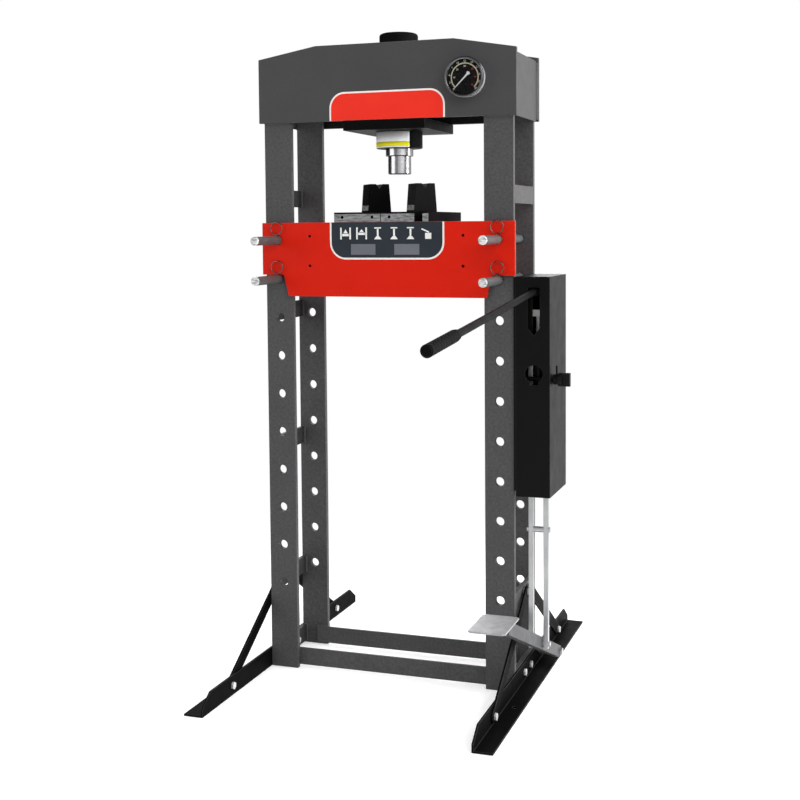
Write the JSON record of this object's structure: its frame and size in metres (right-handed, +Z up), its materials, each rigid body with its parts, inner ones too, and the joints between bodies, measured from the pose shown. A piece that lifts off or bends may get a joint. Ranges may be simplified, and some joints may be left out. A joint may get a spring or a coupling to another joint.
{
  "type": "hydraulic press",
  "caption": "Floor-standing workshop press: drilled H-frame, ram under a top beam, bed on pins with plates and V-blocks, side pump worked by hand lever or pedal.",
  "frame": {"origin": "on the floor, at the centre of the four anchor holes, midway between the posts and under the ram", "axes": "+Z up along the posts, +X to the right seen from the front, towards the pump, -Y to the front"},
  "size_m": [0.847, 1.4703, 1.657],
  "materials": {
    "frame_paint": "fine textured dark grey paint",
    "black_paint": "satin black paint",
    "red_paint": "semi-gloss red paint",
    "zinc": "bright zinc plate",
    "ram_steel": "ground steel",
    "plate_steel": "oiled flame-cut steel",
    "block_black": "blackened steel",
    "pump_casting": "black paint on a casting",
    "gauge_case": "black paint",
    "bezel_chrome": "polished",
    "dial_black": "matt",
    "needle_white": "white paint",
    "gauge_glass": "clear",
    "grip_rubber": "matt",
    "knob_plastic": "moulded"
  },
  "bodies": {
    "frame": {"post_front_left": "frame_paint", "post_front_right": "frame_paint", "post_rear_left": "frame_paint", "post_rear_right": "frame_paint", "ties_left": "frame_paint", "ties_right": "frame_paint", "cross_bar_front": "frame_paint", "cross_bar_rear": "frame_paint", "foot_left": "black_paint", "foot_right": "black_paint", "brace_front_left": "black_paint", "brace_rear_left": "black_paint", "brace_front_right": "black_paint", "brace_rear_right": "black_paint", "frame_bolts": "zinc", "beam_front_plate": "frame_paint", "beam_rear_plate": "frame_paint", "beam_end_left": "frame_paint", "beam_end_right": "frame_paint", "cylinder_mount_plate": "black_paint", "cylinder_barrel": "black_paint", "cylinder_cap": "black_paint", "gauge_case": "gauge_case", "gauge_dial": "dial_black", "gauge_glass": "gauge_glass", "gauge_bezel": "bezel_chrome", "bed_front_plate": "red_paint", "bed_rear_plate": "red_paint", "bed_web_left": "red_paint", "bed_web_right": "red_paint", "pin_upper_left": "zinc", "pin_upper_right": "zinc", "pin_lower_left": "zinc", "pin_lower_right": "zinc", "pin_clips": "zinc", "press_plate_left": "plate_steel", "press_plate_right": "plate_steel", "v_block_left": "block_black", "v_block_right": "block_black", "pump_bracket": "black_paint", "pump_cover": "black_paint", "pump_body": "pump_casting", "lever_pivot": "zinc", "pedal_pivot": "zinc"},
    "ram": {"ram": "ram_steel", "ram_nose": "ram_steel"},
    "needle": {"gauge_needle": "needle_white"},
    "lever": {"lever_rocker": "black_paint", "hand_lever": "black_paint", "lever_grip": "grip_rubber"},
    "links": {"link_left": "zinc", "link_right": "zinc", "link_top_pin": "zinc", "link_spacer_bolt": "zinc", "link_bottom_pin": "zinc", "pump_plunger": "zinc"},
    "pedal": {"pedal_arm": "zinc", "pedal_plate": "zinc"},
    "knob": {"release_knob": "knob_plastic"}
  },
  "joints": [
    {"name": "ram_slide", "type": "slide", "parent": "frame", "child": "ram", "axis": [0, 0, -1], "range_m": [0, 0.095], "stiffness_N_per_m": 2000, "springref_m": -0.1},
    {"name": "needle_turn", "type": "hinge", "parent": "frame", "child": "needle", "pos_m": [0.217, -0.1441, 1.523], "axis": [0, 1, 0], "range_deg": [0, 270], "stiffness_Nm_per_rad": 0.002, "springref_deg": -22.92},
    {"name": "lever_swing", "type": "hinge", "parent": "frame", "child": "lever", "pos_m": [0.3825, -0.0175, 1.0086], "axis": [1, 0, 0], "range_deg": [0, 27], "stiffness_Nm_per_rad": 10, "springref_deg": -103.13},
    {"name": "link_slide", "type": "slide", "parent": "frame", "child": "links", "axis": [0, 0, -1], "range_m": [0, 0.02344]},
    {"name": "pedal_swing", "type": "hinge", "parent": "frame", "child": "pedal", "pos_m": [0.3825, 0.1405, 0.031], "axis": [1, 0, 0], "range_deg": [0, 5.75]},
    {"name": "release_turn", "type": "hinge", "parent": "frame", "child": "knob", "pos_m": [0.4515, -0.08412, 0.785], "axis": [1, 0, 0], "range_deg": [0, 270]}
  ],
  "couplings": [
    {"joint": "link_slide", "follows": "lever_swing", "m_per_rad": 0.049539},
    {"joint": "pedal_swing", "follows": "lever_swing", "ratio": 0.21245}
  ]
}
